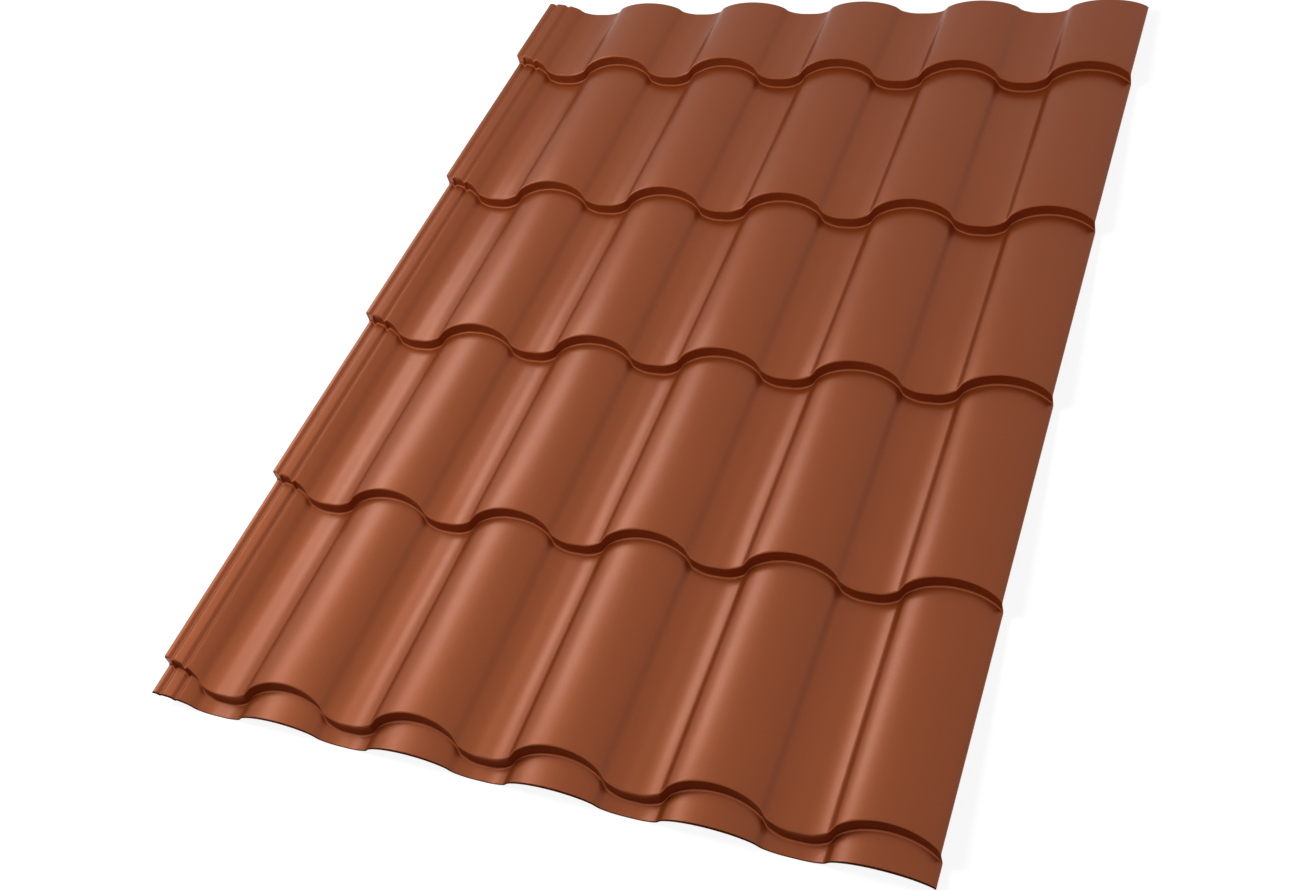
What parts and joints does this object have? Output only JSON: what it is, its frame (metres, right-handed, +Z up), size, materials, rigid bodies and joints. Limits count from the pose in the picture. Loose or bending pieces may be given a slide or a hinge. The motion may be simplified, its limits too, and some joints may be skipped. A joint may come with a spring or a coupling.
{
  "type": "metal roofing sheet",
  "caption": "Pressed roofing sheet: one thin skin of coated steel with waves along its length and moulded steps across it, so that it looks like rows of roof tiles.",
  "frame": {"origin": "Centre of the sheet's width and length, level with the underside of the troughs at the feet of the steps, which the sheet rests on.", "axes": "+X across the waves to the edge that laps over the next sheet, +Y along the waves from the eaves edge up the slope, +Z up, towards the coated weather side."},
  "size_m": [1.2188, 1.6338, 0.0467],
  "materials": {
    "coated_steel": "satin copper-brown coil coating"
  },
  "bodies": {
    "root": {"roofing_sheet": "coated_steel"}
  },
  "joints": []
}
